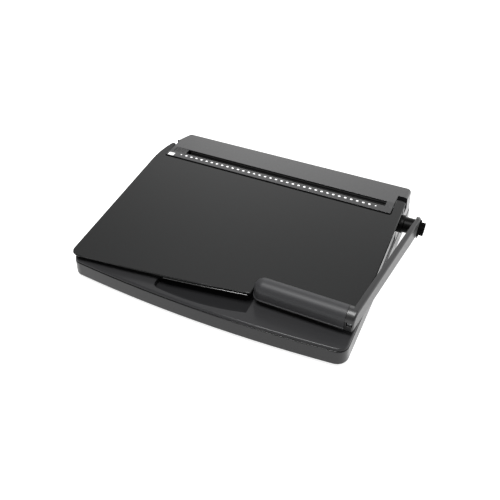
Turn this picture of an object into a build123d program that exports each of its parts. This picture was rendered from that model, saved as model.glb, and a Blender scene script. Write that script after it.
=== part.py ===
from build123d import *
from math import acos, cos, pi, radians, sin, tan
import os

# Every size is in millimetres. While drawing, x 0 is the middle of the case,
# y 0 is the lid's front left corner, and z 0 is the table.

# Case outline, seen from above
case_half_width = 184.2
case_depth = 295.5
case_front_y = 1.5
front_bow = 9.5
front_corner_r = 14.0
rear_corner_r = 9.0
left_sweep = 16.0
left_sweep_length = 78.0
right_spread = 2.0
wall = 2.5

# Heights of the case
base_draft = 3.5
roof_draft = 4.5
shoulder_r = 5.0
foot_height = 4.0
foot_size = 16.0
foot_seat = 1.0
foot_bevel = 1.2
bottom_bevel = 2.0
rim_bevel = 0.6
rib_height = 5.0
rib_thickness = 2.0
seam_z = 25.4
seam_gap = 1.0
seam_step = 0.6
seam_lip = 3.0
lip_thickness = 2.0
deck_z = 29.5
deck_thickness = 2.5
deck_edge_r = 2.4

# Finger recess
recess_width = 123.0
recess_depth = 7.5
recess_rear_y = 48.0
recess_front_y = -1.4
recess_left_y = 2.0
recess_right_y = 9.0
recess_corner_r = 9.0
recess_wall = 2.0

# Lid
lid_front_z = 38.7
lid_slope = 5.1
lid_thickness = 2.6
lid_skirt = 4.5
lid_skirt_wall = 2.2
lid_edge_bevel = 1.0
lid_seat_setback = 7.0
lid_front_bulge = 2.4
lid_front_right_y = 29.0
lid_cut_y = 53.0
lid_sweep = 9.0
lid_gap = 0.6
lid_corner_r = 11.0
lid_arm_width = 14.2
lid_arm_gap = 0.8
lid_step_y = 59.0
platform_width = 127.7
pull_lip = 0.9
pull_lip_height = 1.3

# Rear housing with the paper slot, as distances from the strip's front edge
strip_to_rear = 73.5
strip_to_slot = 12.8
strip_to_shaft = 3.0
strip_to_hinge = 25.0
strip_to_notch_rear = 43.5
housing_overlap = 13.4
slot_width = 11.2
slot_left_margin = 6.0
slot_right_margin = 10.5
roof_fall = 2.8
strip_rise = 0.7
hinge_depth = 9.2
hinge_pin_r = 2.5
hinge_lug_r = 5.5
hinge_boss_r = 5.0
notch_floor_drop = 8.0
arm_overrun = 5.0

# Punch
hole_pitch = 25.4 / 3
row_margin = 25.0
hole_size = 4.0
hole_margin = 2.6
throat = 3.0
guide_thickness = 6.0
die_thickness = 4.0
plate_bottom_z = 10.0
plate_tab = 10.0
guide_rise = 8.5
die_rise = 14.0
die_overrun = 1.0
throat_ridges = 4
pin_head = 2.0
pin_slant = 0.8
stop_bar = 5.0

# Punch bar
bar_gap = 17.0
bar_depth = 6.0
bar_half_height = 6.0
retainer_wall = 3.0

# Drive
shaft_depth = 14.2
shaft_r = 5.0
lever_lift = 85.0
module = 1.0
pinion_teeth = 16
pinion_width = 5.0
pinion_inset = 5.8
backlash = 0.15
rack_depth = 7.0
frame_thickness = 3.0
frame_inset = 1.2
bush_wall = 3.0

frame_neck = 3.5
frame_step = 4.0
window_margin = 10.0
foot_margin = 8.0

# Lever
hub_r = 14.5
hub_standoff = 19.2
hub_thickness = 5.8
hub_bevel = 1.8
arm_front_thickness = 7.2
arm_rear_thickness = 5.8
arm_edge_r = 2.6
grip_centre_y = 36.2
grip_centre_z = 50.0
grip_r = 12.0
grip_drop = 11.5
grip_corner_r = 4.0
grip_lip = 0.8
grip_lip_height = 1.8
elbow_width = 12.4
core_r = 5.0
boss_r = 10.5
collar_r = 12.0
collar_width = 6.0
clip_width = 5.2
clip_height = 2.6

# Adjusting knob
knob_flange_r = 11.5
knob_flange = 1.8
knob_r = 8.8
knob_length = 5.6
knob_lobes = 8
knob_flute_r = 1.6
spigot_r = 3.0
knob_well_r = 4.6

# Wire closer
closer_bay = 53.5
jaw_depth = 8.0
jaw_drop = 2.0
jaw_rise = 11.0
anvil_rise = 12.0
anvil_depth = 14.0
anvil_thickness = 3.0
closed_gap = 8.0
post_hex = 7.0

# Chip drawer
drawer_depth = 24.0
drawer_bottom_z = 10.0
drawer_height = 12.0
drawer_wall = 1.5
drawer_gap = 0.9

# Printed marks
ink = 0.15
mark_size = (3.2, 2.4)
end_mark_size = (2.0, 1.6)
paper_mark_size = (8.8, 6.4)
paper_mark_inset = 3.0
paper_mark_front = 2.4

# Screws and their posts
post_size = 8.0
post_split_z = 20.0
screw_r = 1.4
screw_head = 1.3
screw_hex = 5.5

# Clearances, and how far a cutting block reaches past the machine
running = 0.05
far = 400.0
high = 100.0
press = 0.01
gap = 0.3
guard_gap = 1.2

# Levels and places worked out from the sizes above
floor_z = foot_height + wall
lid_rise = tan(radians(lid_slope))
strip_front_y = case_depth - strip_to_rear
housing_front_y = strip_front_y - housing_overlap
slot_front_y = strip_front_y + strip_to_slot
slot_rear_y = slot_front_y + slot_width
shaft_y = strip_front_y + strip_to_shaft
hinge_y = strip_front_y + strip_to_hinge
notch_rear_y = strip_front_y + strip_to_notch_rear
arm_rear_y = hinge_y + arm_overrun
housing_top_z = lid_front_z + strip_front_y * lid_rise + strip_rise
housing_rear_z = housing_top_z - roof_fall
shaft_z = housing_top_z - shaft_depth
hinge_z = housing_top_z - hinge_depth
notch_floor_z = hinge_z - notch_floor_drop
pitch_r = module * pinion_teeth / 2
stroke = pitch_r * radians(lever_lift)
pitch_z = shaft_z - pitch_r
hole_z = pitch_z - rack_depth
guide_top_z = hole_z + guide_rise
die_top_z = hole_z + die_rise
bar_z = (hole_z - bar_half_height, hole_z + bar_half_height)
guide_rear_y = slot_front_y - gap
guide_front_y = guide_rear_y - guide_thickness
die_front_y = guide_rear_y + throat
die_rear_y = die_front_y + die_thickness
pin_tip_y = die_rear_y + die_overrun
bar_rear_y = guide_front_y - bar_gap
bar_front_y = bar_rear_y - bar_depth
jaw_y = bar_front_y - closer_bay
bay_front_y = jaw_y - stroke - anvil_depth
anvil_y = jaw_y + jaw_depth + closed_gap
anvil_rear_y = anvil_y + anvil_depth
drawer_front_y = die_rear_y + drawer_gap
drawer_rear_y = drawer_front_y + drawer_depth
drawer_top_z = drawer_bottom_z + drawer_height
strip_half_width = case_half_width - lid_arm_width
hole_count = int(2 * (strip_half_width - row_margin) / hole_pitch)
slot_left_x = slot_left_margin - strip_half_width
slot_right_x = strip_half_width - slot_right_margin
frame_x = strip_half_width + frame_inset
pinion_x = strip_half_width - pinion_inset
rack_inner_x = pinion_x - pinion_width / 2
rack_outer_x = pinion_x + pinion_width / 2
plate_half = rack_inner_x - guard_gap
hub_inner_x = case_half_width + hub_standoff
hub_outer_x = hub_inner_x + hub_thickness
knob_inner_x = hub_outer_x + gap
knob_outer_x = knob_inner_x + knob_flange + knob_length
lid_cut_x = case_half_width - platform_width
recess_right_x = lid_cut_x + recess_wall + lid_edge_bevel
recess_left_x = recess_right_x - recess_width
arm_front_x = case_half_width + gap
grip_left_x = lid_cut_x + recess_wall
grip_right_x = arm_front_x - elbow_width
grip_front_y = grip_centre_y - grip_r
hole_row = [(i - (hole_count - 1) / 2) * hole_pitch for i in range(hole_count)]
stop_x = hole_row[0] - hole_pitch / 2
guide_travel = hole_pitch / 2
anvil_post_row = [rack_inner_x * t for t in (-0.86, -0.29, 0.29, 0.86)]
edge_x = case_half_width - 1.4 * front_corner_r - foot_size / 2
base_flare = (seam_z - foot_height) * tan(radians(base_draft))
left_x = -(case_half_width + base_flare)
front_y = case_front_y - front_bow - base_flare
rear_y = case_depth + base_flare
origin = Pos(-(left_x + knob_outer_x) / 2, -(front_y + rear_y) / 2, 0)
everywhere = (-far, far)


def save(name, *solids):
    """Write one sub-part with the origin in the middle of the machine's footprint."""
    group = [origin * s for solid in solids for s in solid.solids()]
    shape = group[0] if len(group) == 1 else Compound(children=group)
    export_step(shape, f"parts/{name}.step")


def block(x, y, z):
    """A box between the limits of x, y and z."""
    size = [abs(b - a) for a, b in (x, y, z)]
    return Pos(*[(a + b) / 2 for a, b in (x, y, z)]) * Box(*size)


def rod_x(r, x0, x1, y, z):
    """A round bar along x."""
    return Pos((x0 + x1) / 2, y, z) * Rot(0, 90, 0) * Cylinder(r, abs(x1 - x0))


def rod_z(r, x, y, z0, z1):
    """A round bar along z."""
    return Pos(x, y, (z0 + z1) / 2) * Cylinder(r, z1 - z0)


def hex_z(r, x, y, z0, z1):
    """A six-sided bar along z, for screws and their holes."""
    return Pos(x, y, 0) * raised(RegularPolygon(r, 6), z0, z1)


def side_plane(x):
    """Plane square to x, whose own x and y are the drawing's y and z."""
    return Plane((x, 0, 0), x_dir=(0, 1, 0), z_dir=(1, 0, 0))


def along_x(points, x0, x1):
    """An outline of (y, z) points, as a solid from x0 to x1."""
    face = make_face(Polyline(*[(0, y, z) for y, z in points], close=True))
    return Pos(min(x0, x1), 0, 0) * extrude(face, amount=abs(x1 - x0), dir=(1, 0, 0))


def raised(face, z0, z1, taper=0.0):
    """A flat outline drawn up, or down, from z0 to z1, with an optional draft."""
    return Pos(0, 0, z0) * extrude(face, amount=z1 - z0, taper=taper)


def lid_z(y):
    """Height of the lid's top face."""
    return lid_front_z + y * lid_rise


def roof_z(y):
    """Height of the rear housing's roof, which falls away behind the slot."""
    return housing_top_z - max(0, y - slot_rear_y) * roof_fall / (case_depth - slot_rear_y)


def under_lid(depth, thickness):
    """A slab parallel to the lid, with its top a depth under the lid's top face."""
    slab = Box(2 * far, 2 * far, thickness, align=(Align.CENTER, Align.CENTER, Align.MAX))
    return Pos(0, 0, lid_front_z - depth) * Rot(lid_slope, 0, 0) * slab


def round_corners(face, corners):
    """Rounds the outline's corner nearest to each given point."""
    for near, r in corners:
        corner = face.vertices().sort_by_distance((near[0], near[1], 0))[0]
        face = fillet(corner, r)
    return face


def case_plan(inset):
    """The case from above: a bowed front and a left side that sweeps in at the rear."""
    w, front, rear = case_half_width, case_front_y, case_depth
    rear_left, rear_right = (left_sweep - w, rear), (w + right_spread, rear)
    sweep_start = (-w, rear - left_sweep_length)
    outline = [
        ThreePointArc((-w, front), (0, front - front_bow), (w, front)),
        Polyline((w, front), rear_right, rear_left),
        TangentArc(sweep_start, rear_left, tangent=(0, 1)),
        Line(sweep_start, (-w, front)),
    ]
    face = round_corners(Sketch() + make_face(Curve() + outline), [
        ((-w, front), front_corner_r), ((w, front), front_corner_r),
        (rear_left, rear_corner_r), (rear_right, rear_corner_r),
    ])
    return offset(face, -inset, kind=Kind.INTERSECTION)


def arm_outer_x(y):
    """Outer face of the slanted lever arm at y."""
    return arm_front_x + (y - grip_centre_y) * (hub_outer_x - arm_front_x) / (shaft_y - grip_centre_y)


def arm_inner_x(y):
    """Inner face of the lever arm, which gets thinner towards the hub."""
    share = (y - grip_centre_y) / (shaft_y - grip_centre_y)
    return arm_outer_x(y) - arm_front_thickness + share * (arm_front_thickness - arm_rear_thickness)


def lid_plan(inset):
    """The lid from above, with a cut-out for the grip and two arms at the rear."""
    w = case_half_width
    arm_x = strip_half_width + lid_arm_gap
    back = strip_front_y - 2 * lid_arm_gap
    front_left, front_right = (-w, 0), (lid_cut_x, lid_front_right_y)
    inner, step = (arm_inner_x(lid_cut_y) - 2.5, lid_cut_y), (w, lid_cut_y + lid_step_y)
    bulge = ((lid_cut_x - w) / 2, lid_front_right_y / 2 - lid_front_bulge)
    rear_left, rear_right = (lid_sweep - w, arm_rear_y), (w, arm_rear_y)
    sweep_start = (-w, case_depth - left_sweep_length - front_bow)
    outline = [
        ThreePointArc(front_left, bulge, front_right),
        Polyline(
            front_right, (lid_cut_x, lid_cut_y), inner, step, rear_right,
            (arm_x, arm_rear_y), (arm_x, back), (-arm_x, back), (-arm_x, arm_rear_y), rear_left,
        ),
        TangentArc(sweep_start, rear_left, tangent=(0, 1)),
        Line(sweep_start, front_left),
    ]
    face = round_corners(Sketch() + make_face(Curve() + outline), [
        (front_left, lid_corner_r), (front_right, 3), ((lid_cut_x, lid_cut_y), 6),
        (inner, 6), (step, 30), (rear_right, 5), ((arm_x, back), 2), ((-arm_x, back), 2),
    ])
    return offset(face, -inset, kind=Kind.INTERSECTION) if inset else face


# Screw places that the base and the covers share
deck_screws = [(x, y) for x in (-edge_x, edge_x) for y in (1.2 * recess_rear_y, bay_front_y - anvil_depth)]
housing_screws = [(x, case_depth - anvil_depth) for x in (-0.65 * edge_x, 0.65 * edge_x)]
foot_row = (2.0 * front_corner_r, case_depth - 2.5 * front_corner_r)


def screw_posts(places, z0, z1):
    """Square posts that the case screws pass through."""
    half = post_size / 2
    return [block((x - half, x + half), (y - half, y + half), (z0, z1)) for x, y in places]


def base_shell():
    """The tray that everything stands in: drafted walls, floor ribs and screw posts."""
    rim_z = seam_z - rim_bevel
    outer = raised(case_plan(0), rim_z, foot_height, -base_draft)
    outer = chamfer(outer.edges().group_by(Axis.Z)[0], bottom_bevel)
    outer += raised(case_plan(0), rim_z, seam_z, 45)
    shell = outer - raised(case_plan(wall), seam_z, floor_z, -base_draft)
    half_rib, inside = rib_thickness / 2, case_half_width - 3 * wall
    ribs_z = (floor_z - 1, floor_z + rib_height)
    for t in (0.35, 0.7):
        y = bay_front_y * t
        shell += block((-inside, inside), (y - half_rib, y + half_rib), ribs_z)
    for t in (-0.6, -0.27, 0.27, 0.6):
        x = inside * t
        shell += block((x - half_rib, x + half_rib), (case_front_y + 3 * wall, bay_front_y), ribs_z)
    shell += screw_posts(deck_screws + housing_screws, floor_z - 1, post_split_z)
    for x, y in deck_screws + housing_screws:
        shell -= hex_z(screw_r + running, x, y, 0, post_split_z + 1)
    shell -= [pad for pad in foot_pads(foot_size + 2 * press, foot_height + foot_seat + press)]
    drawer_hole = (drawer_bottom_z - gap, drawer_top_z + gap)
    shell -= block((left_x - wall, wall + 2 * left_sweep - case_half_width),
                   (drawer_front_y - gap, drawer_rear_y + gap), drawer_hole)
    return shell


def foot_pads(size, top_z):
    """Four square pads below the corners of the case."""
    half = size / 2
    return [block((x - half, x + half), (y - half, y + half), (0, top_z))
            for x in (-edge_x, edge_x) for y in foot_row]


def rubber_feet():
    """Four moulded feet pressed into shallow seats, with a bevelled sole."""
    pads = foot_pads(foot_size, foot_height + foot_seat)
    return [chamfer(pad.edges().group_by(Axis.Z)[0], foot_bevel) for pad in pads]


def recess_plan(grow):
    """The finger recess from above: bowed front, straight right end, rounded left end."""
    left, right, rear = recess_left_x - grow, recess_right_x + grow, recess_rear_y + grow
    front_left, front_right = (left, recess_left_y - grow), (right, recess_right_y - grow)
    outline = [
        ThreePointArc(front_left, (left / 9, recess_front_y - grow), front_right),
        Polyline(front_right, (right, rear), (left, rear), front_left),
    ]
    face = Sketch() + make_face(Curve() + outline)
    return round_corners(face, [(front_left, recess_corner_r + grow)])


def recess_body(grow, top_z):
    """The scoop under the lid's front edge, grown by its own wall."""
    bottom = deck_z - recess_depth - grow
    front, rear = recess_front_y - 2 * recess_wall - grow, recess_rear_y + grow
    steep, soft = recess_depth, 2 * recess_depth
    outline = [
        ThreePointArc((0, front, deck_z), (0, front + 0.4 * steep, bottom + 0.25 * recess_depth),
                      (0, front + 1.6 * steep, bottom)),
        Line((0, front + 1.6 * steep, bottom), (0, rear - soft, bottom)),
        ThreePointArc((0, rear - soft, bottom), (0, rear - 0.4 * soft, bottom + 0.2 * recess_depth),
                      (0, rear, deck_z - 2)),
        Polyline((0, rear, deck_z - 2), (0, rear, top_z), (0, front, top_z), (0, front, deck_z)),
    ]
    width = recess_width + 4 * recess_wall
    scoop = extrude(make_face(Curve() + outline), amount=width, dir=(1, 0, 0))
    return raised(recess_plan(grow), 0, top_z) & Pos(recess_left_x - 2 * recess_wall, 0, 0) * scoop


def front_deck():
    """Front ledge, finger recess, grip platform and the side walls under the lid."""
    under = deck_z - deck_thickness
    plate = raised(case_plan(seam_step), seam_z + seam_gap, deck_z)
    plate = fillet(plate.edges().group_by(Axis.Z)[-1], deck_edge_r)
    lip_z = seam_z - seam_lip
    inset = wall + gap
    plate += raised(case_plan(inset), lip_z, under + 1)
    plate -= raised(case_plan(inset + lip_thickness), 0, under)
    lid_face = lid_plan(seam_step)
    seat = Sketch() + (lid_face & (Pos(0, lid_seat_setback, 0) * lid_face))
    seat_inner = offset(seat, -lid_skirt_wall, kind=Kind.INTERSECTION)
    ring = raised(seat, deck_z - 2, high) - raised(seat_inner, 0, high + 1)
    ring += raised(seat, deck_z - 2, high) & recess_body(recess_wall, high)
    ring &= under_lid(lid_skirt + lid_gap, 120)
    deck = plate + ring + recess_body(recess_wall, deck_z - 1)
    deck -= recess_body(0, high)
    bay_half = frame_x + frame_thickness + 1
    deck -= block((-bay_half, bay_half), (bay_front_y, far), (0, high))
    deck += screw_posts(deck_screws, post_split_z, under + 1)
    for x, y in deck_screws:
        deck -= hex_z(screw_r, x, y, post_split_z - 1, under)
    return deck & block(everywhere, (-far, housing_front_y - gap), (0, high))


def under_roof(depth, y0, y1, low, half_width):
    """A body below the roof, down to a level, whose top is a depth under the roof."""
    top = [(y, roof_z(y) - depth) for y in (y0, max(y0, slot_rear_y), y1)]
    top = top if y0 < slot_rear_y else top[1:]
    return along_x([(y0, low), *top, (y1, low)], -half_width, half_width)


def rear_block(inset):
    """The part behind the hinge notches: soft shoulders outside; inset gives its hollow."""
    front, rear = notch_rear_y + inset, case_depth + 10
    solid = raised(case_plan(seam_step + inset), seam_z, 90, roof_draft)
    solid &= under_roof(inset, front, rear, 0, everywhere[1])
    roof = solid.faces().sort_by(Axis.Z)[-1]
    rim = [e for e in roof.edges() if e.center().Y > front + 0.01]
    return fillet(rim, shoulder_r) if inset == 0 else solid


def housing_whole():
    """Roof over the punch, with the paper slot, hinge notches and the back wall."""
    low = seam_z + seam_gap
    cheek = strip_half_width - wall
    shelf_z = (notch_floor_z - wall, notch_floor_z)
    notch_y = hinge_y - hinge_lug_r - 1.5
    outer = raised(case_plan(seam_step), seam_z, 90, roof_draft)
    inner = raised(case_plan(seam_step + wall), seam_z, 90, roof_draft)
    body = rear_block(0)
    body += under_roof(0, strip_front_y, notch_rear_y + 1, shelf_z[0], strip_half_width)
    walls = outer - inner
    walls += outer & block(everywhere, (notch_y - wall, notch_y), (shelf_z[0], high))
    walls &= block(everywhere, (housing_front_y, notch_rear_y + 1), (0, high))
    walls &= under_lid(lid_skirt + lid_gap, 120)
    walls -= block(everywhere, (notch_y, notch_rear_y), (notch_floor_z, high))
    body += walls + (outer & block(everywhere, (notch_y - wall, notch_rear_y + 1), shelf_z))
    body -= rear_block(wall)
    ceiling_z = housing_top_z - wall
    body -= under_roof(wall, strip_front_y + wall, notch_rear_y + wall + 1, 0, cheek)
    body -= block((-cheek, cheek), (0, strip_front_y + wall + 1), (0, shaft_z + pitch_r + module + gap))
    body -= inner & block(everywhere, (notch_rear_y - 1, notch_rear_y + wall + 1), (0, shelf_z[0]))
    for side in (-1, 1):
        x0, x1 = side * (cheek - hinge_boss_r), side * (cheek + 1)
        body += block((x0, x1), (hinge_y - hinge_boss_r, hinge_y + hinge_boss_r),
                      (hinge_z - hinge_boss_r, ceiling_z + 0.5))
        body -= rod_x(hinge_pin_r + running, x0 - side, x1 + side * wall, hinge_y, hinge_z)
    skirt_half = rack_inner_x - pitch_r
    body += block((-skirt_half, skirt_half), (slot_front_y - 2, slot_front_y),
                  (guide_top_z + gap, ceiling_z + 1))
    body -= block((slot_left_x, slot_right_x), (slot_front_y, slot_rear_y), (0, high))
    body -= rod_x(shaft_r + 1.5, -frame_x - hinge_boss_r, far, shaft_y, shaft_z)
    body &= block(everywhere, everywhere, (low, high))
    inset = wall + gap
    lip = raised(case_plan(inset), seam_z - seam_lip, low + seam_lip)
    lip -= raised(case_plan(inset + lip_thickness), 0, low + seam_lip)
    lip &= block(everywhere, (housing_front_y, far), (0, high))
    lip -= block((-far, -frame_x), (drawer_front_y - 2, drawer_rear_y + 2), (0, drawer_top_z + 1))
    body += lip
    body += screw_posts(housing_screws, post_split_z, housing_rear_z - wall + 1)
    for x, y in housing_screws:
        body -= hex_z(screw_r, x, y, post_split_z - 1, deck_z)
    return body


def slot_strip(housing):
    """The bar in front of the slot, a moulding of its own that carries the hole marks."""
    return housing & block((-strip_half_width, strip_half_width), (strip_front_y, slot_front_y), (0, high))


def rear_housing(housing):
    """The rest of the housing, behind and beside the strip."""
    return housing - block((-strip_half_width, strip_half_width), (strip_front_y, slot_front_y), (0, high))


def lid():
    """The big cover: a thin tray with a skirt, a pull lip, ribs and two hinge lugs."""
    cover = raised(lid_plan(0), 0, high) & under_lid(0, lid_skirt)
    rims = [e for e in cover.edges() if abs(e.center().Z - lid_z(e.center().Y)) < 0.02]
    cover = chamfer(rims, lid_edge_bevel)
    lip = raised(lid_plan(-pull_lip), 0, high) & under_lid(lid_skirt - pull_lip_height, pull_lip_height)
    cover += lip & block((recess_left_x + recess_corner_r, lid_cut_x - 4), (0, lid_cut_y / 2), (0, high))
    cover -= raised(lid_plan(lid_skirt_wall), 0, high) & under_lid(lid_thickness, 40)
    half, inside = rib_thickness / 2, case_half_width - 3 * lid_skirt_wall
    ribs = block((-inside, lid_cut_x - 6), (lid_cut_y - 13, lid_cut_y - 11), (0, high))
    for t in (0.42, 0.68):
        y = strip_front_y * t
        ribs += block((-inside, inside), (y - half, y + half), (0, high))
    for t in (-0.65, -0.22, 0.22, 0.65):
        x = case_half_width * t
        ribs += block((x - half, x + half), (lid_cut_y + 7, strip_front_y - 8), (0, high))
    cover += ribs & raised(lid_plan(1), 0, high) & under_lid(1, lid_skirt - 2)
    inner = strip_half_width + 2 * lid_arm_gap
    lugs = rod_x(hinge_lug_r, -far, far, hinge_y, hinge_z)
    lugs += block(everywhere, (hinge_y - hinge_lug_r, hinge_y + hinge_lug_r - 1), (hinge_z, high))
    lugs -= block((-inner, inner), everywhere, (0, high))
    cover += lugs & raised(lid_plan(gap), 0, high) & under_lid(1, 60)
    for side in (-1, 1):
        cover -= rod_x(hinge_pin_r + running, 0, side * (inner + 1.8), hinge_y, hinge_z)
    return cover


def hinge_pins():
    """Two steel pins that the lid turns on."""
    x0, x1 = gap - slot_left_x, strip_half_width + 2 * lid_arm_gap + 1.5
    pin = rod_x(hinge_pin_r, x0, x1, hinge_y, hinge_z)
    return [pin, mirror(pin, about=Plane.YZ)]


def hole_marks():
    """One small square printed over each punched hole, and a square for the paper edge."""
    y = (strip_front_y + slot_front_y) / 2
    row_y = y + strip_to_slot / 10

    def mark(x, y, size):
        across, back = size[0] / 2, size[1] / 2
        return block((x - across, x + across), (y - back, y + back), (housing_top_z, housing_top_z + ink))

    marks = [mark(x, row_y, mark_size) for x in hole_row]
    marks += [mark(x, row_y, end_mark_size) for x in (hole_row[0] - hole_pitch, hole_row[-1] + hole_pitch)]
    paper_x = paper_mark_inset - strip_half_width + hole_pitch / 2
    return marks + [mark(paper_x, y - paper_mark_front, paper_mark_size)]


def throat_lining():
    """Ribbed lead-in behind the slot that guides the sheets down to the die."""
    low_z = die_top_z + gap
    ramp_low = (die_front_y, low_z + 2.3)
    ramp_high = (slot_rear_y - 1.4, housing_top_z - 1.4)
    across, up = (b - a for a, b in zip(ramp_low, ramp_high))
    ridges = []
    for i in range(throat_ridges):
        for part, lift in ((0.25, 0.0), (0.6, 0.5), (0.9, 0.5), (0.95, 0.0)):
            t = (i + part) / throat_ridges
            ridges.append((ramp_low[0] + across * t - lift * 0.8, ramp_low[1] + up * t + lift * 0.6))
    back = slot_rear_y - gap
    points = [(die_front_y, low_z), ramp_low, *ridges, ramp_high, (back, ramp_high[1]),
              (back, low_z + 6), (die_rear_y - 1, low_z)]
    return along_x(points, stop_x + guide_travel + gap, slot_right_x - gap)


def edge_guide():
    """Stop for the sheets' left edge: a ridged block in the slot with a thin blade below."""
    top_z = housing_top_z - running
    y0, y1 = slot_front_y + gap, slot_rear_y - gap
    head = block((slot_left_x + gap, stop_x), (y0, y1), (die_top_z + 5, top_z))
    head = chamfer(head.edges().group_by(Axis.Z)[-1], 0.5)
    blade = (guide_rear_y + gap, die_front_y - gap)
    head += block((stop_x - hole_pitch, stop_x), blade, (hole_z + hole_size / 2 + 1.2, die_top_z + 6))
    for i in range(1, 4):
        y = y0 + (y1 - y0) * i / 4
        head -= block((slot_left_x + 1.5, stop_x - 1.5), (y - 0.4, y + 0.4), (top_z - 0.5, high))
    return head


def square_holes(y0, y1, clearance):
    """The row of square holes, as cutters."""
    half = hole_size / 2 + clearance
    return [block((x - half, x + half), (y0, y1), (hole_z - half, hole_z + half)) for x in hole_row]


def plate_blank(y0, y1, top_z):
    """A steel plate with its two lower tabs, which reach the side frames."""
    tab_z = plate_bottom_z + plate_tab
    blank = block((-plate_half, plate_half), (y0, y1), (tab_z - 4, top_z))
    tab = frame_x - running
    return blank + block((-tab, tab), (y0, y1), (plate_bottom_z, tab_z))


def punch_guide_plate():
    """Front wall of the throat, which guides the punch pins."""
    plate = plate_blank(guide_front_y, guide_rear_y, guide_top_z)
    return plate - square_holes(guide_front_y - 1, guide_rear_y + 1, running)


def die_plate():
    """Hardened plate behind the sheets, with one square hole for each pin."""
    plate = plate_blank(die_front_y, die_rear_y, die_top_z)
    return plate - square_holes(die_front_y - 1, die_rear_y + 1, 2 * running)


def paper_stop():
    """Bar at the bottom of the throat that the sheets' edge stands on."""
    top = hole_z - hole_size / 2 - hole_margin
    depth = (guide_rear_y + press, die_front_y - press)
    return block((-plate_half, plate_half), depth, (top - stop_bar, top))


def punch_pins():
    """Square pins with a head, cut on a slant so that each sheet shears a side at a time."""
    head_y, head_half = bar_front_y - pin_head, hole_size / 2 + 1
    half = hole_size / 2
    profile = [
        (head_y, hole_z - head_half), (head_y, hole_z + head_half), (bar_front_y, hole_z + head_half),
        (bar_front_y, hole_z + half), (pin_tip_y, hole_z + half), (pin_tip_y - pin_slant, hole_z - half),
        (bar_front_y, hole_z - half), (bar_front_y, hole_z - head_half),
    ]
    return [along_x(profile, x - half, x + half) for x in hole_row]


def punch_bar():
    """Bar that pushes all the pins at once."""
    half = rack_inner_x - running
    bar = block((-half, half), (bar_front_y, bar_rear_y), bar_z)
    return bar - square_holes(bar_front_y - 1, bar_rear_y + 1, running)


def pin_retainer():
    """Channel that holds the pin heads against the punch bar."""
    half = rack_inner_x - running
    back = bar_front_y - pin_head - running
    strip = block((-half, half), (back - retainer_wall, bar_front_y), bar_z)
    return strip - block((-half - 1, half + 1), (back, bar_front_y + 1), (bar_z[0] + wall, bar_z[1] - wall))


def rack_tooth_line():
    """Rack teeth seen from the side, from the front end to the rear end."""
    pitch = pi * module
    half = (pitch / 2 - backlash) / 2
    up, down = 0.8 * module, 1.25 * module
    slope = tan(radians(20))
    points = []
    for k in range(-5, 6):
        y = shaft_y + (k + 0.5) * pitch
        points += [
            (y - half - down * slope, pitch_z - down), (y - half + up * slope, pitch_z + up),
            (y + half - up * slope, pitch_z + up), (y + half + down * slope, pitch_z - down),
        ]
    return points


def rack_bar(side):
    """Sliding side bar with rack teeth under the pinion."""
    x0, x1 = sorted((side * rack_inner_x, side * rack_outer_x))
    root_z = pitch_z - 1.25 * module
    teeth = rack_tooth_line()
    front, rear = jaw_y - jaw_depth, teeth[-1][0] + 1
    return along_x([(front, hole_z), (front, root_z), *teeth, (rear, root_z), (rear, hole_z)], x0, x1)


def closer_jaw():
    """Moving jaw of the wire closer, with a hollowed face."""
    half = rack_inner_x - running
    rear, top = jaw_y + jaw_depth, hole_z + jaw_rise
    jaw = block((-half, half), (jaw_y, rear), (hole_z - jaw_drop, top))
    jaw -= rod_x(3.6, -half - 1, half + 1, rear + 2.2, top - 4.5)
    return chamfer(jaw.edges().filter_by(Axis.X).group_by(Axis.Z)[-1].sort_by(Axis.Y)[0], 1.5)


def punch_guard():
    """Folded sheet cover over the punch bar, below the lid."""
    t = guard_gap
    front, wall_y = anvil_rear_y + t, strip_front_y - pitch_r - 1.5 * module
    low, high = guide_top_z + 2 * gap, lid_z(wall_y) - lid_skirt - t
    sheet = [(front, low), (front, low + t), (wall_y, low + t), (wall_y, high),
             (wall_y + t, high), (wall_y + t, low)]
    half = frame_x - gap
    guard = along_x(sheet, -half, half)
    guard += block((-plate_half, plate_half), (front, front + t), (hole_z + 1, low + 1))
    for side in (-1, 1):
        guard += block((side * half, side * (half - t)), (front + hub_r, wall_y), (pitch_z - 1, low + t))
    return guard


def closer_anvil():
    """Fixed angle that the wire is pressed against."""
    foot_z = floor_z + pitch_r
    top = hole_z + anvil_rise
    angle = block((-plate_half, plate_half), (anvil_y, anvil_y + anvil_thickness), (foot_z, top))
    angle = chamfer(angle.edges().filter_by(Axis.X).group_by(Axis.Z)[-1], 0.8)
    angle += block((-plate_half, plate_half), (anvil_y, anvil_rear_y), (foot_z, foot_z + anvil_thickness))
    return angle


def anvil_post_group():
    """Hexagonal spacers that carry the anvil above the floor."""
    y = anvil_rear_y - post_hex / 2 - 1.5
    return [hex_z(post_hex / 2, x, y, floor_z, floor_z + pitch_r) for x in anvil_post_row]


def slide_rail(side):
    """Nylon rail that one rack bar runs on."""
    inner, outer = rack_inner_x + gap, frame_x - running
    top = hole_z - 2 * running
    front, rear = bay_front_y + 4, pin_tip_y + 3
    rail = block((inner, outer), (front, rear), (top - pinion_width - 2, top))
    rail += block((rack_outer_x + gap, outer), (front, rear), (top - 1, pitch_z - 1.5))
    return rail if side > 0 else mirror(rail, about=Plane.YZ)


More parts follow.
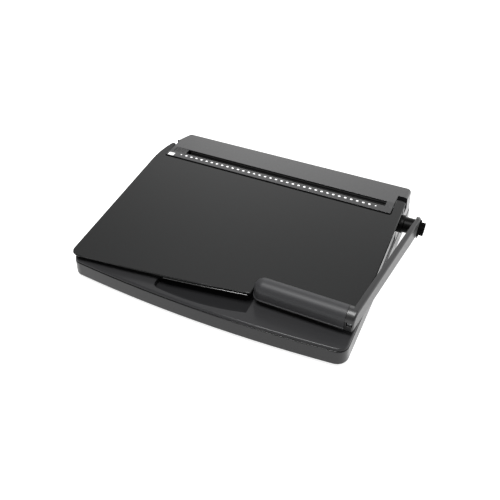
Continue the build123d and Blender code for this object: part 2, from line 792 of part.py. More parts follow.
def side_frame(side):
    """Steel side plate with a bent foot, a bush seat and a lightening window."""
    front, rear = bay_front_y + frame_step, drawer_front_y - 2 * gap
    head, neck = shaft_r + 5.5, shaft_y + shaft_r + frame_neck
    top, shoulder = shaft_z + shaft_r + bush_wall - 1, shaft_z + frame_step / 2
    outline = [
        (front, floor_z), (front, hole_z - frame_step), (bar_front_y - 2 * window_margin, hole_z + frame_step),
        (shaft_y - head, shoulder), (shaft_y - head + frame_step, top), (shaft_y + shaft_r, top),
        (neck, shoulder), (neck, notch_floor_z - wall - frame_step / 4),
        (rear, notch_floor_z - wall - frame_step), (rear, floor_z),
    ]
    sill = floor_z + foot_margin
    window = [
        (front + window_margin, sill), (front + window_margin, hole_z - window_margin),
        (bar_front_y - 3 * window_margin, hole_z - 0.6 * window_margin),
        (bar_front_y - 3 * foot_margin, sill),
    ]
    x0, x1 = frame_x, frame_x + frame_thickness
    plate = along_x(outline, x0, x1) - along_x(window, x0 - 1, x1 + 1)
    plate += block((x0, x1 + wall), (front, guide_front_y), (floor_z, floor_z + frame_thickness))
    plate -= rod_x(shaft_r + bush_wall, x0 - 1, x1 + 1, shaft_y, shaft_z)
    return plate if side > 0 else mirror(plate, about=Plane.YZ)


def frame_screws():
    """Hexagon screws that hold the guide and die plates between the side frames."""
    x0 = frame_x + frame_thickness + press
    hexagon = RegularPolygon(screw_hex / 2 - 0.6, 6)
    screws = []
    for y in (guide_front_y + guide_thickness / 2, die_front_y + die_thickness / 2):
        place = Pos(y, plate_bottom_z + plate_tab / 2)
        screws.append(extrude(side_plane(x0) * (place * hexagon), amount=guard_gap))
    return screws + [mirror(s, about=Plane.YZ) for s in screws]


def shaft_bushes():
    """Plain bronze bushes, one in each side frame."""
    x0, x1 = frame_x - guard_gap / 2, frame_x + frame_thickness + guard_gap
    bush = rod_x(shaft_r + bush_wall - press, x0, x1, shaft_y, shaft_z)
    bush -= rod_x(shaft_r + running, x0 - 1, x1 + 1, shaft_y, shaft_z)
    return [bush, mirror(bush, about=Plane.YZ)]


def lever_boss():
    """Collar and tube on the right wall that carry the outer end of the shaft."""
    wall_x = case_half_width + right_spread + gap
    collar_x = case_half_width + collar_width
    boss = rod_x(collar_r, wall_x, collar_x, shaft_y, shaft_z)
    boss = chamfer(boss.edges().filter_by(GeomType.CIRCLE).sort_by(Axis.X)[-1], 0.8)
    boss += rod_x(boss_r, wall_x, hub_inner_x - 2 * gap, shaft_y, shaft_z)
    foot_top = lid_z(shaft_y - collar_r) - lid_skirt - 2 * gap
    foot = rod_x(collar_r, wall_x - 2 * wall, wall_x, shaft_y, shaft_z)
    foot &= block((0, far), everywhere, (0, foot_top))
    boss += foot - raised(case_plan(seam_step), seam_z, 90, roof_draft)
    return boss - rod_x(shaft_r + running, wall_x - 3 * wall, hub_outer_x, shaft_y, shaft_z)


def main_shaft():
    """Ground steel shaft from the left frame to the lever hub, with a spigot for the knob."""
    end = frame_x + frame_thickness + 2
    shaft = rod_x(shaft_r, -end, hub_outer_x, shaft_y, shaft_z)
    return shaft + rod_x(spigot_r, hub_outer_x - 1, knob_outer_x - 1.9, shaft_y, shaft_z)


def pinion_outline():
    """Involute teeth, with one tooth pointing straight down at the rack."""
    base_r = pitch_r * cos(radians(20))
    tip_r, root_r = pitch_r + module, pitch_r - 1.25 * module
    half = (pi * module / 2 - backlash) / 2 / pitch_r

    def involute(r):
        a = acos(min(1, base_r / r))
        return tan(a) - a

    flank = [base_r, tip_r]
    points = []
    for i in range(pinion_teeth):
        middle = -pi / 2 + 2 * pi * i / pinion_teeth
        side = [(root_r, half + involute(pitch_r))]
        side += [(r, half + involute(pitch_r) - involute(r)) for r in flank]
        for r, a in side:
            points.append((shaft_y + r * cos(middle - a), shaft_z + r * sin(middle - a)))
        for r, a in reversed(side):
            points.append((shaft_y + r * cos(middle + a), shaft_z + r * sin(middle + a)))
    return points


def pinion(side):
    """Pinion that drives one rack bar."""
    inner, outer = rack_inner_x + gap, rack_outer_x - gap
    gear = along_x(pinion_outline(), inner, outer)
    gear -= rod_x(shaft_r + press, inner - 1, outer + 1, shaft_y, shaft_z)
    return gear if side > 0 else mirror(gear, about=Plane.YZ)


def grip_outline(lip):
    """Cross-section of the grip: a round top on straight sides, with a lip or soft corners."""
    face = Circle(grip_r) + Pos(0, -grip_drop / 2) * Rectangle(2 * grip_r, grip_drop)
    if lip:
        brim = Rectangle(2 * (grip_r + grip_lip), grip_lip_height)
        brim = chamfer(brim.vertices(), grip_lip / 2)
        return face + Pos(0, grip_lip_height / 2 - grip_drop) * brim
    return fillet(face.vertices().sort_by(Axis.Y)[:2], grip_corner_r)


def lever_arm():
    """Tapered arm with a round hub, leaning inward to the elbow that holds the grip."""
    hub_y = shaft_y - 3
    place = Pos(grip_centre_y, grip_centre_z)
    blade = make_face(Polyline((arm_inner_x(grip_front_y - 1), grip_front_y - 1),
                               (arm_outer_x(grip_front_y - 1), grip_front_y - 1),
                               (arm_outer_x(hub_y), hub_y), (arm_inner_x(hub_y), hub_y), close=True))
    hub_circle = Pos(shaft_y, shaft_z) * Circle(hub_r)
    side_view = make_hull((place * grip_outline(False)).edges() + hub_circle.edges())
    arm = raised(blade, 0, 120) & extrude(side_plane(150) * side_view, amount=100)
    outline = [e for e in arm.edges() if e.center().X > arm_outer_x(e.center().Y) - 0.1]
    arm = fillet([e for e in outline if e.center().Y < hub_y - 1], arm_edge_r)
    arm -= rod_x(boss_r + 1, 150, hub_inner_x, shaft_y, shaft_z)
    hub = rod_x(hub_r, hub_inner_x, hub_outer_x, shaft_y, shaft_z)
    arm += chamfer(hub.edges().filter_by(GeomType.CIRCLE).sort_by(Axis.X)[-1], hub_bevel)
    start = grip_right_x + gap
    elbow = side_plane(start) * (place * grip_outline(False))
    arm += extrude(elbow, amount=arm_inner_x(grip_centre_y) + 1 - start)
    arm -= rod_x(core_r + running, grip_right_x - 5, arm_front_x - 4, grip_centre_y, grip_centre_z)
    arm -= clip_window(clip_width + 2, clip_height + 3, 4)
    return arm - rod_x(shaft_r + press, hub_inner_x - 9, hub_outer_x + 1, shaft_y, shaft_z)


def clip_window(width, height, depth):
    """The little window in the elbow's front face, or the catch that shows in it."""
    x, z = (grip_right_x + arm_front_x) / 2 - 0.6, grip_centre_z - 2
    return block((x - width / 2, x + width / 2), (grip_front_y - 1, grip_front_y + depth),
                 (z - height / 2, z + height / 2))


def grip_clip():
    """Bright steel catch that shows in the elbow's window and keeps the grip on."""
    catch = clip_window(clip_width, clip_height, 3.9)
    return catch - block(everywhere, (0, grip_front_y + 1.2), (0, high))


def grip_core():
    """Steel rod inside the grip."""
    return rod_x(core_r, grip_left_x + 10, arm_front_x - 4.2, grip_centre_y, grip_centre_z)


def lever_grip():
    """Long handle with a domed left end and a thin lip round its lower edge."""
    start = grip_left_x + grip_r
    place = Pos(grip_centre_y, grip_centre_z)
    body = extrude(side_plane(start) * (place * grip_outline(True)), amount=grip_right_x - start)
    half = grip_outline(True) & Pos(grip_r, 0) * Rectangle(2 * grip_r, 4 * grip_r)
    half = side_plane(start) * (place * half)
    body += revolve(half, Axis((start, grip_centre_y, 0), (0, 0, 1)), 180)
    return body - rod_x(core_r + running, grip_left_x + 9.5, 250, grip_centre_y, grip_centre_z)


def adjusting_knob():
    """Lobed knob with a round flange and a pointer tab."""
    x0, x1 = knob_inner_x, knob_inner_x + knob_flange
    knob = rod_x(knob_flange_r, x0, x1, shaft_y, shaft_z)
    knob = chamfer(knob.edges().filter_by(GeomType.CIRCLE).sort_by(Axis.X)[-1], 0.5)
    tab = Pos((x0 + x1) / 2, shaft_y, shaft_z) * Rot(233, 0, 0) * Pos(0, knob_flange_r - 1, 0)
    knob += tab * Box(knob_flange - 0.4, 4.6, 2.6)
    body = rod_x(knob_r, x1 - 0.5, knob_outer_x, shaft_y, shaft_z)
    r = knob_r + 0.6
    for i in range(knob_lobes):
        a = 2 * pi * (i + 0.5) / knob_lobes
        body -= rod_x(knob_flute_r, x1, knob_outer_x + 1, shaft_y + r * cos(a), shaft_z + r * sin(a))
    knob += body
    knob -= rod_x(spigot_r + running, x0 - 1, knob_outer_x + 1, shaft_y, shaft_z)
    return knob - rod_x(knob_well_r, knob_outer_x - 2, knob_outer_x + 1, shaft_y, shaft_z)


def knob_screw():
    """Slotted screw that keeps the knob on the shaft."""
    face_x = knob_outer_x - 0.5
    head = rod_x(knob_well_r - gap, face_x - 1.4, face_x, shaft_y, shaft_z)
    slot = (shaft_y - 3.4, shaft_y + 3.4), (shaft_z - 0.5, shaft_z + 0.5)
    return head - block((face_x - 0.7, face_x + 1), *slot)


def chip_drawer():
    """Long tray for the punched chips, drawn out to the left by a finger scoop."""
    low, high = drawer_bottom_z, drawer_top_z
    y0, y1 = drawer_front_y, drawer_rear_y
    right, face_x = frame_x - 2 * wall, 2 * wall - case_half_width
    tray = block((left_x - 1, right), (y0, y1), (low, high))
    tray &= raised(case_plan(0), seam_z - rim_bevel, foot_height, -base_draft)
    t = drawer_wall
    tray -= block((face_x + left_sweep / 2, right - t), (y0 + t, y1 - t), (low + t, high))
    scoop = rod_z(drawer_height, -case_half_width - drawer_height / 2, (y0 + y1) / 2, low + t, high - t)
    return tray - scoop


def case_screw_group():
    """Hexagon screws from below that hold the covers to the base."""
    screws = []
    for x, y in deck_screws + housing_screws:
        head = hex_z(screw_hex / 2, x, y, foot_height - screw_head, foot_height)
        shank_top = deck_z - deck_thickness - 1
        screws.append(head + hex_z(screw_r - running, x, y, foot_height - 0.5, shank_top))
    return screws


os.makedirs("parts", exist_ok=True)
save("base_shell", base_shell())
save("rubber_feet", *rubber_feet())
save("front_deck", front_deck())
housing = housing_whole()
save("rear_housing", rear_housing(housing))
save("slot_strip", slot_strip(housing))
save("hinge_pins", *hinge_pins())
save("lid", lid())
save("hole_marks", *hole_marks())
save("throat_lining", throat_lining())
save("edge_guide", edge_guide())
save("punch_guide_plate", punch_guide_plate())
save("die_plate", die_plate())
save("paper_stop", paper_stop())
save("punch_pins", *punch_pins())
save("punch_bar", punch_bar())
save("pin_retainer", pin_retainer())
save("closer_jaw", closer_jaw())
save("closer_anvil", closer_anvil())
save("punch_guard", punch_guard())
save("anvil_posts", *anvil_post_group())
for name, side in (("left", -1), ("right", 1)):
    save(f"rack_bar_{name}", rack_bar(side))
    save(f"slide_rail_{name}", slide_rail(side))
    save(f"side_frame_{name}", side_frame(side))
    save(f"pinion_{name}", pinion(side))
save("frame_screws", *frame_screws())
save("shaft_bushes", *shaft_bushes())
save("lever_boss", lever_boss())
save("main_shaft", main_shaft())
save("lever_arm", lever_arm())
save("grip_clip", grip_clip())
save("grip_core", grip_core())
save("lever_grip", lever_grip())
save("adjusting_knob", adjusting_knob())
save("knob_screw", knob_screw())
save("chip_drawer", chip_drawer())
save("case_screws", *case_screw_group())
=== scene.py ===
from math import radians

import bmesh
import bpy
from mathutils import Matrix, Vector


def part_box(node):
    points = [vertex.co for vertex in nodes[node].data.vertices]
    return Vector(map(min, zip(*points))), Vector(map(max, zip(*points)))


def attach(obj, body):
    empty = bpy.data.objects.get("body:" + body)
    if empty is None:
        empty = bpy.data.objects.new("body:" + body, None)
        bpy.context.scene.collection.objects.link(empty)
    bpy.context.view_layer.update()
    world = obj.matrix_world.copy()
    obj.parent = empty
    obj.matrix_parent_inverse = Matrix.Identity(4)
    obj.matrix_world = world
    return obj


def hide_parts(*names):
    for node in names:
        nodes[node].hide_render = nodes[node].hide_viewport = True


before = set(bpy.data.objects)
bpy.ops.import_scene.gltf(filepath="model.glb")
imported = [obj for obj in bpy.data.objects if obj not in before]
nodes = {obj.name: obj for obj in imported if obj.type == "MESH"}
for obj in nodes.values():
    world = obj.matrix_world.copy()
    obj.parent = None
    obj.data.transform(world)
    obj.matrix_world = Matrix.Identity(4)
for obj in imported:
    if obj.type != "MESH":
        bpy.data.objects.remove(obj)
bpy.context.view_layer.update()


# Camera
# A short telephoto lens, well above the machine at its front right, so that the cover, the
# lever and the right side all show. Its place is given from the middle of the case, level
# with the cover's front left corner.
MM = 0.001
base_half_width, base_bow = 185.5 * MM, 9.3 * MM
base_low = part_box("base_shell")[0]
case_middle_x = base_low.x + base_half_width
lid_corner_y = base_low.y + base_bow
camera_elevation, camera_azimuth = 42.17, 24.56
camera_data = bpy.data.cameras.new("camera")
camera_data.sensor_width = 36
camera_data.lens = 43.56
camera = bpy.data.objects.new("camera", camera_data)
camera.location = (case_middle_x + 260.7 * MM, lid_corner_y - 420.3 * MM, 557.4 * MM)
camera.rotation_euler = (radians(90 - camera_elevation), 0, radians(camera_azimuth))
bpy.context.scene.collection.objects.link(camera)
bpy.context.scene.camera = camera


# Studio
# A white table in a white tent: the tent's lower belt is brightly lit and its top is dim,
# so upright and level faces shine and the tilted cover stays dark. One lamp hangs overhead.
def linear(hex_colour):
    """An sRGB hex colour as linear RGBA."""
    parts = [int(hex_colour[i:i + 2], 16) / 255 for i in (1, 3, 5)]
    return [p / 12.92 if p <= 0.04045 else ((p + 0.055) / 1.055) ** 2.4 for p in parts] + [1]


def add(tree, kind, settings=None, links=None):
    """Adds a shader node, sets its sockets or properties, and links its inputs."""
    node = tree.nodes.new(kind)
    for name, value in (settings or {}).items():
        if isinstance(name, int) or name in node.inputs:
            node.inputs[name].default_value = value
        else:
            setattr(node, name, value)
    for name, source in (links or {}).items():
        tree.links.new(source, node.inputs[name])
    return node


def new_material(name):
    """An empty material with its output node, ready for a surface."""
    material = bpy.data.materials.new(name)
    material.use_nodes = True
    material.node_tree.nodes.clear()
    return material, material.node_tree


def lit_acrylic():
    """Matt white acrylic with a very faint mottle, lit a little from below."""
    material, tree = new_material("lit_acrylic")
    place = add(tree, "ShaderNodeTexCoord")
    mottle = add(tree, "ShaderNodeTexNoise", {"Scale": 3.0, "Detail": 2.0},
                 {"Vector": place.outputs["Object"]})
    colour = add(tree, "ShaderNodeMix", {"data_type": "RGBA", 6: linear("#b4b4b4"), 7: linear("#bcbcbc")},
                 {"Factor": mottle.outputs["Fac"]})
    surface = add(tree, "ShaderNodeBsdfPrincipled",
                  {"Roughness": 0.9, "Emission Color": linear("#ffffff"), "Emission Strength": 0.85},
                  {"Base Color": colour.outputs[2]})
    add(tree, "ShaderNodeOutputMaterial", None, {"Surface": surface.outputs["BSDF"]})
    return material


def tent_light(world):
    """Light of the tent: a bright belt under a dim top, darkest on the camera's side."""
    tree = world.node_tree
    place = add(tree, "ShaderNodeTexCoord")
    axes = add(tree, "ShaderNodeSeparateXYZ", None, {"Vector": place.outputs["Generated"]})
    # Brightness at places along each axis, from 0 at one side of the tent to 1 at the other
    by_axis = {
        "X": [(0.0, 0.30), (0.20, 0.35), (0.26, 0.72), (0.32, 1.0), (0.37, 0.98), (0.45, 0.84),
              (1.0, 0.84)],
        "Y": [(0.0, 0.22), (0.35, 0.22), (0.62, 1.0), (1.0, 1.0)],
        "Z": [(0.5, 0.80), (0.76, 0.80), (0.80, 0.67), (0.845, 0.46), (0.875, 0.34), (0.90, 0.28),
              (1.0, 0.2)],
    }
    level = None
    for axis, steps in by_axis.items():
        share = add(tree, "ShaderNodeMapRange", {"From Min": -1.0, "From Max": 1.0},
                    {"Value": axes.outputs[axis]})
        band = add(tree, "ShaderNodeValToRGB", None, {"Fac": share.outputs["Result"]})
        ramp = band.color_ramp
        ramp.elements[0].color = (steps[0][1],) * 3 + (1,)
        ramp.elements[1].color = (steps[-1][1],) * 3 + (1,)
        for position, bright in steps[1:-1]:
            ramp.elements.new(position).color = (bright,) * 3 + (1,)
        level = add(tree, "ShaderNodeMath", {"operation": "MULTIPLY", 0: 3.0},
                    {1: band.outputs["Color"], **({0: level.outputs[0]} if level else {})})
    glow = tree.nodes["Background"]
    glow.inputs["Color"].default_value = linear("#ffffff")
    tree.links.new(level.outputs[0], glow.inputs["Strength"])


def area_lamp(name, place, aim, width, height, watts):
    """A soft box lamp that faces a point."""
    data = bpy.data.lights.new(name, "AREA")
    data.shape = "RECTANGLE"
    data.size, data.size_y, data.energy = width, height, watts
    lamp = bpy.data.objects.new(name, data)
    lamp.location = place
    lamp.rotation_euler = (Vector(aim) - Vector(place)).to_track_quat("-Z", "Y").to_euler()
    bpy.context.scene.collection.objects.link(lamp)


board = bpy.data.meshes.new("floor")
reach_m = 6.0
board_corners = [(x * reach_m, y * reach_m, 0) for x, y in ((-1, -1), (1, -1), (1, 1), (-1, 1))]
board.from_pydata(board_corners, [], [(0, 1, 2, 3)])
floor = bpy.data.objects.new("floor", board)
board.materials.append(lit_acrylic())
bpy.context.scene.collection.objects.link(floor)

world = bpy.data.worlds.new("tent")
world.use_nodes = True
tent_light(world)
bpy.context.scene.world = world
bpy.context.scene.view_settings.view_transform = "Standard"
area_lamp("overhead_softbox", place=(0.0, -0.33, 1.27), aim=(0, 0, 0), width=0.6, height=0.5, watts=24)


# Base shell
# A deep injection moulding in black ABS that everything stands in. Its tool face is spark
# eroded, which breaks the gloss up into a fine satin; the grain is drawn coarse enough to show.
def finish_nodes(material, *names):
    """Gives CAD nodes their material."""
    for name in names:
        slots = nodes[name].data.materials
        slots.clear()
        slots.append(material)


def moulded_plastic(name, dark, light, roughness, grain_mm, depth_mm, edge_mm=0.5, sheen=0.5):
    """Plastic from a spark-eroded tool: a soft sheen and a fine grain."""
    material, tree = new_material(name)
    place = add(tree, "ShaderNodeTexCoord").outputs["Object"]
    grain = add(tree, "ShaderNodeTexNoise", {"Scale": 1 / (grain_mm * MM), "Detail": 4.0, "Roughness": 0.6},
                {"Vector": place})
    blend = add(tree, "ShaderNodeMath", {"operation": "MULTIPLY_ADD", 1: 0.5, 2: 0.25},
                {0: grain.outputs["Fac"]})
    colour = add(tree, "ShaderNodeMix", {"data_type": "RGBA", 6: linear(dark), 7: linear(light)},
                 {"Factor": blend.outputs[0]})
    rough = add(tree, "ShaderNodeMapRange", {"From Min": 0.0, "From Max": 1.0,
                                             "To Min": roughness - 0.03, "To Max": roughness + 0.03},
                {"Value": grain.outputs["Fac"]})
    edge = add(tree, "ShaderNodeBevel", {"samples": 4, "Radius": edge_mm * MM})
    bump = add(tree, "ShaderNodeBump", {"Strength": 0.5, "Distance": depth_mm * MM},
               {"Height": grain.outputs["Fac"], "Normal": edge.outputs["Normal"]})
    surface = add(tree, "ShaderNodeBsdfPrincipled", {"IOR": 1.5, "Specular IOR Level": sheen},
                  {"Base Color": colour.outputs[2], "Roughness": rough.outputs["Result"],
                   "Normal": bump.outputs["Normal"]})
    add(tree, "ShaderNodeOutputMaterial", None, {"Surface": surface.outputs["BSDF"]})
    return material


base_abs = moulded_plastic("base_abs", "#101011", "#181819", roughness=0.24,
                           grain_mm=1.4, depth_mm=0.005, edge_mm=0.7, sheen=0.29)
finish_nodes(base_abs, "base_shell")


# Feet
# Four rubber pads pressed into seats in the base's underside. The rubber is dull and
# slightly dusty.
foot_rubber = moulded_plastic("foot_rubber", "#0d0d0d", "#171717", roughness=0.7,
                              grain_mm=0.8, depth_mm=0.05)
finish_nodes(foot_rubber, "rubber_feet")


# Frames and rails
# Two zinc-plated sheet steel frames carry the works, with nylon rails between them and
# the moving bars, plain bronze bushes and six-sided spacers.
def ground_steel(name, dark, light, roughness, run=(0.06, 1.0, 1.0)):
    """Steel with fine grinding lines, drawn out along the axis where run is smallest."""
    material, tree = new_material(name)
    place = add(tree, "ShaderNodeTexCoord").outputs["Object"]
    along = add(tree, "ShaderNodeMapping", {"Scale": run}, {"Vector": place})
    lines = add(tree, "ShaderNodeTexNoise", {"Scale": 1 / (0.7 * MM), "Detail": 4.0},
                {"Vector": along.outputs["Vector"]})
    colour = add(tree, "ShaderNodeMix", {"data_type": "RGBA", 6: linear(dark), 7: linear(light)},
                 {"Factor": lines.outputs["Fac"]})
    rough = add(tree, "ShaderNodeMapRange", {"To Min": roughness - 0.08, "To Max": roughness + 0.08},
                {"Value": lines.outputs["Fac"]})
    surface = add(tree, "ShaderNodeBsdfPrincipled", {"Metallic": 1.0},
                  {"Base Color": colour.outputs[2], "Roughness": rough.outputs["Result"]})
    add(tree, "ShaderNodeOutputMaterial", None, {"Surface": surface.outputs["BSDF"]})
    return material


finish_nodes(ground_steel("zinc_plated_sheet", "#85888c", "#b4b7bb", 0.38, (1.0, 0.1, 1.0)),
             "side_frame_left", "side_frame_right", "anvil_posts", "frame_screws", "case_screws")
natural_nylon = moulded_plastic("natural_nylon", "#c9c5b8", "#dad7cc", roughness=0.45,
                                grain_mm=1.5, depth_mm=0.02)
finish_nodes(natural_nylon, "slide_rail_left", "slide_rail_right")
finish_nodes(ground_steel("sintered_bronze", "#8a6a3a", "#b08a50", 0.45), "shaft_bushes")


# Punch
# A guide plate and a die plate of ground steel with a row of square holes, and hardened
# square pins pushed through them by a bar on two racks.
finish_nodes(ground_steel("ground_steel", "#8e9092", "#c2c4c6", 0.30),
             "punch_guide_plate", "die_plate", "paper_stop", "punch_bar", "pin_retainer")
finish_nodes(ground_steel("hardened_steel", "#6f7174", "#9fa2a5", 0.24, (1.0, 0.06, 1.0)),
             "punch_pins", "rack_bar_left", "rack_bar_right", "pinion_left", "pinion_right")


# Wire closer
# A moving jaw on the racks and a fixed angle, both bright-drawn steel, under a folded
# sheet cover in black powder coat.
def powder_coat(name, dark, light, roughness):
    """Baked powder: a faint orange peel under a low gloss."""
    material, tree = new_material(name)
    place = add(tree, "ShaderNodeTexCoord").outputs["Object"]
    peel = add(tree, "ShaderNodeTexNoise", {"Scale": 1 / (1.6 * MM), "Detail": 2.0}, {"Vector": place})
    colour = add(tree, "ShaderNodeMix", {"data_type": "RGBA", 6: linear(dark), 7: linear(light)},
                 {"Factor": peel.outputs["Fac"]})
    edge = add(tree, "ShaderNodeBevel", {"samples": 4, "Radius": 0.6 * MM})
    bump = add(tree, "ShaderNodeBump", {"Strength": 0.4, "Distance": 0.01 * MM},
               {"Height": peel.outputs["Fac"], "Normal": edge.outputs["Normal"]})
    surface = add(tree, "ShaderNodeBsdfPrincipled", {"Roughness": roughness, "IOR": 1.5},
                  {"Base Color": colour.outputs[2], "Normal": bump.outputs["Normal"]})
    add(tree, "ShaderNodeOutputMaterial", None, {"Surface": surface.outputs["BSDF"]})
    return material


finish_nodes(ground_steel("bright_drawn_steel", "#94979a", "#c6c9cc", 0.28), "closer_jaw", "closer_anvil")
finish_nodes(powder_coat("guard_powder_coat", "#151516", "#202021", 0.4), "punch_guard")


# Chip drawer
# A shallow tray in black polypropylene, which slides out to the left. It looks a little
# waxier than the case.
drawer_polypropylene = moulded_plastic("drawer_polypropylene", "#151515", "#1f1f20", roughness=0.42,
                                       grain_mm=1.5, depth_mm=0.03)
finish_nodes(drawer_polypropylene, "chip_drawer")


# Front deck
# The ledge with its finger recess, moulded in the same black ABS as the base. Below the recess rim its
# colour is painted darker as shade, so the recess looks deep, and its gloss is turned down.
def shade_and_dull_below(material, low_mm, high_mm, dull, bright, dark):
    """Paints everything lower than a level darker, as shade, and takes its gloss off."""
    tree = material.node_tree
    skin = tree.nodes["Principled BSDF"]
    place = add(tree, "ShaderNodeTexCoord")
    axes = add(tree, "ShaderNodeSeparateXYZ", None, {"Vector": place.outputs["Object"]})
    above = add(tree, "ShaderNodeMapRange", {"From Min": low_mm * MM, "From Max": high_mm * MM},
                {"Value": axes.outputs["Z"]}).outputs["Result"]
    gloss = add(tree, "ShaderNodeMix", {2: dull, 3: bright}, {"Factor": above})
    top_colour = skin.inputs["Base Color"].links[0].from_socket
    # Painted shade: below the level the colour turns darker.
    colour = add(tree, "ShaderNodeMix", {"data_type": "RGBA", 6: linear(dark)},
                 {"Factor": above, 7: top_colour})
    tree.links.new(gloss.outputs[0], skin.inputs["Specular IOR Level"])
    tree.links.new(colour.outputs[2], skin.inputs["Base Color"])


deck_abs = moulded_plastic("deck_abs", "#242425", "#2b2b2c", roughness=0.22,
                           grain_mm=1.4, depth_mm=0.004, edge_mm=0.6)
# The recess is painted darker than the deck top, as shade, and made less glossy.
shade_and_dull_below(deck_abs, low_mm=26.0, high_mm=28.5, dull=0.05, bright=0.17, dark="#1e1e1f")
finish_nodes(deck_abs, "front_deck")


# Rear housing
# The roof over the punch, moulded like the deck; the slot's ribbed lead-in is a separate duller moulding
# clipped in from below, coloured near black as painted shade in the deep slot.
housing_abs = moulded_plastic("housing_abs", "#121213", "#1b1b1c", roughness=0.24,
                              grain_mm=1.4, depth_mm=0.006, sheen=0.45)
finish_nodes(housing_abs, "rear_housing", "slot_strip")
# The lining's near-black colour is painted shade for the inside of the slot.
lining_painted_shade_abs = moulded_plastic("lining_painted_shade_abs", "#050505", "#0a0a0a", roughness=0.5,
                             grain_mm=1.0, depth_mm=0.02, sheen=0.15)
finish_nodes(lining_painted_shade_abs, "throat_lining")
guide_nylon = moulded_plastic("guide_nylon", "#0e0e0f", "#171718", roughness=0.22,
                              grain_mm=1.0, depth_mm=0.006)
finish_nodes(guide_nylon, "edge_guide")


# Printed marks
# White ink, pad printed over each hole, so each square is slightly uneven. It is matt and
# has no edge that the light could catch.
def printed_ink():
    """Matt white ink, thin at places."""
    material, tree = new_material("printed_ink")
    place = add(tree, "ShaderNodeTexCoord").outputs["Object"]
    specks = add(tree, "ShaderNodeTexNoise", {"Scale": 1 / (0.8 * MM), "Detail": 3.0}, {"Vector": place})
    colour = add(tree, "ShaderNodeMix", {"data_type": "RGBA", 6: linear("#d4d4d4"), 7: linear("#fafafa")},
                 {"Factor": specks.outputs["Fac"]})
    surface = add(tree, "ShaderNodeBsdfPrincipled", {"Roughness": 0.6}, {"Base Color": colour.outputs[2]})
    add(tree, "ShaderNodeOutputMaterial", None, {"Surface": surface.outputs["BSDF"]})
    return material


finish_nodes(printed_ink(), "hole_marks")


# Cover
# One large ABS moulding with a drier grain than the case, hung on two steel pins. Its
# skirt leans inward under the rim, which leaves a black gap over the deck.
cover_abs = moulded_plastic("cover_abs", "#0c0c0c", "#121313", roughness=0.26,
                            grain_mm=1.6, depth_mm=0.004, sheen=0.4)
finish_nodes(cover_abs, "lid")
finish_nodes(ground_steel("pin_steel", "#8e9092", "#c2c4c6", 0.26), "hinge_pins")
cover_rise = 0.08925  # of its top, towards the rear


def cover_front(x_mm):
    """Y of the cover's bowed front edge, in millimetres behind its left corner."""
    left, half_run, set_back, bow = -184.2, 120.35, 29.0, 2.4
    from_middle = (x_mm - left) / half_run - 1
    return set_back * (from_middle + 1) / 2 - bow * (1 - from_middle ** 2)


def undercut_cover(lean_mm, lip_back_mm):
    """The cover with its skirt leaning inward below the rim and its pull lip set back."""
    skirt_mm, lip_reach_mm, lip_end_mm, arms_mm = 4.5, 0.5, 60, 90
    mesh = nodes["lid"].data.copy()
    shape = bmesh.new()
    shape.from_mesh(mesh)
    bmesh.ops.remove_doubles(shape, verts=shape.verts, dist=1e-6)
    shape.normal_update()
    top = max(v.co.z - v.co.y * cover_rise for v in shape.verts)
    middle = sum((v.co for v in shape.verts), Vector()) / len(shape.verts)
    normals_at = {}
    for face in shape.faces:
        centre = face.calc_center_median()
        depths = [(top - (v.co.z - v.co.y * cover_rise)) / MM for v in face.verts]
        skirt_wall = max(depths) - min(depths) > skirt_mm - 2 and max(depths) < skirt_mm + 0.1
        outward = face.normal.xy.dot((centre - middle).xy) > 0
        if abs(face.normal.z) < 0.1 and skirt_wall and outward and centre.y < middle.y + arms_mm * MM:
            for vertex, depth in zip(face.verts, depths):
                if depth > skirt_mm - 0.2:
                    normals_at.setdefault(vertex, set()).add(tuple(round(n, 2) for n in face.normal.xy))
    for vertex, normals in normals_at.items():
        lean = sum((Vector(n) for n in normals), Vector((0, 0))) / len(normals)
        vertex.co.xy -= lean * lean_mm * MM
    for vertex in shape.verts:
        x, y = (vertex.co.x - case_middle_x) / MM, (vertex.co.y - lid_corner_y) / MM
        if abs(x) < lip_end_mm and y < cover_front(x) - lip_reach_mm:
            vertex.co.y += lip_back_mm * MM
    shape.to_mesh(mesh)
    shape.free()
    piece = bpy.data.objects.new("cover", mesh)
    bpy.context.scene.collection.objects.link(piece)
    mesh.shade_flat()
    return piece


cover = undercut_cover(lean_mm=2.1, lip_back_mm=2.4)
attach(cover, "lid")
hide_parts("lid")


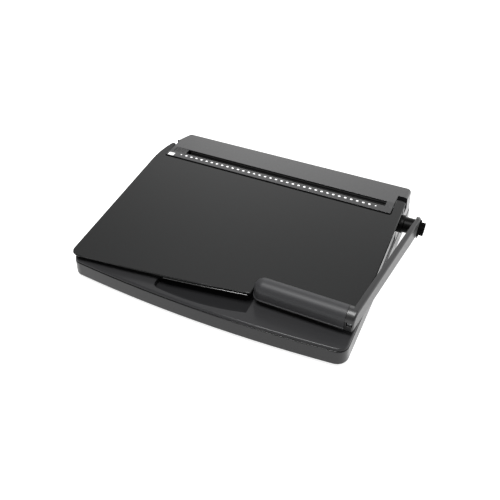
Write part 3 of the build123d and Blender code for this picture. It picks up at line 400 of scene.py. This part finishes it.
# Cover lip
# A thin rounded bead under the cover's front edge, over the finger recess. It is moulded
# with the cover and polished by use.
def bead(name, points, radius_mm):
    """A round bead swept along points."""
    data = bpy.data.curves.new(name, "CURVE")
    data.dimensions = "3D"
    data.bevel_depth, data.bevel_resolution, data.use_fill_caps = radius_mm * MM, 3, True
    line = data.splines.new("POLY")
    line.points.add(len(points) - 1)
    for target, point in zip(line.points, points):
        target.co = (*point, 1)
    piece = bpy.data.objects.new(name, data)
    bpy.context.scene.collection.objects.link(piece)
    return piece


polished_abs = moulded_plastic("polished_abs", "#121212", "#1a1a1a", roughness=0.14,
                               grain_mm=1.8, depth_mm=0.004, edge_mm=0.1, sheen=1.0)
lip_from, lip_to, lip_out, lip_z = -54, 53, 0.14, 34.9
lip_points = []
for x in range(lip_from, lip_to, 2):
    y = cover_front(x) - lip_out
    lip_points.append((case_middle_x + x * MM, lid_corner_y + y * MM, (lip_z + y * cover_rise) * MM))
lip_bead = bead("cover_lip_bead", lip_points, radius_mm=0.75)
lip_bead.data.materials.append(polished_abs)
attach(lip_bead, "lid")


# Lever
# The shaft turns in a moulded boss on the right wall. It carries a steel arm under black
# powder coat, with a nylon handle across its end that a bright catch holds on its rod.
boss_nylon = moulded_plastic("boss_nylon", "#030303", "#060606", roughness=0.4,
                             grain_mm=1.0, depth_mm=0.01, sheen=0.06)
finish_nodes(boss_nylon, "lever_boss")
finish_nodes(ground_steel("shaft_steel", "#8e9092", "#c2c4c6", 0.26),
             "main_shaft", "grip_core", "grip_clip")
finish_nodes(powder_coat("lever_powder_coat", "#0c0c0d", "#141415", 0.38), "lever_arm")
grip_nylon = moulded_plastic("grip_nylon", "#202021", "#2a2a2c", roughness=0.5,
                             grain_mm=1.2, depth_mm=0.01, sheen=0.30)
finish_nodes(grip_nylon, "lever_grip")


# Adjusting knob
# A lobed nylon knob with a pointer, held on the shaft's spigot by a slotted screw. The
# nylon is nearly black and takes almost no shine.
knob_nylon = moulded_plastic("knob_nylon", "#030303", "#060606", roughness=0.6,
                             grain_mm=1.0, depth_mm=0.01, edge_mm=0.3, sheen=0.02)
finish_nodes(knob_nylon, "adjusting_knob")
finish_nodes(ground_steel("screw_steel", "#6f7174", "#9fa2a5", 0.3), "knob_screw")
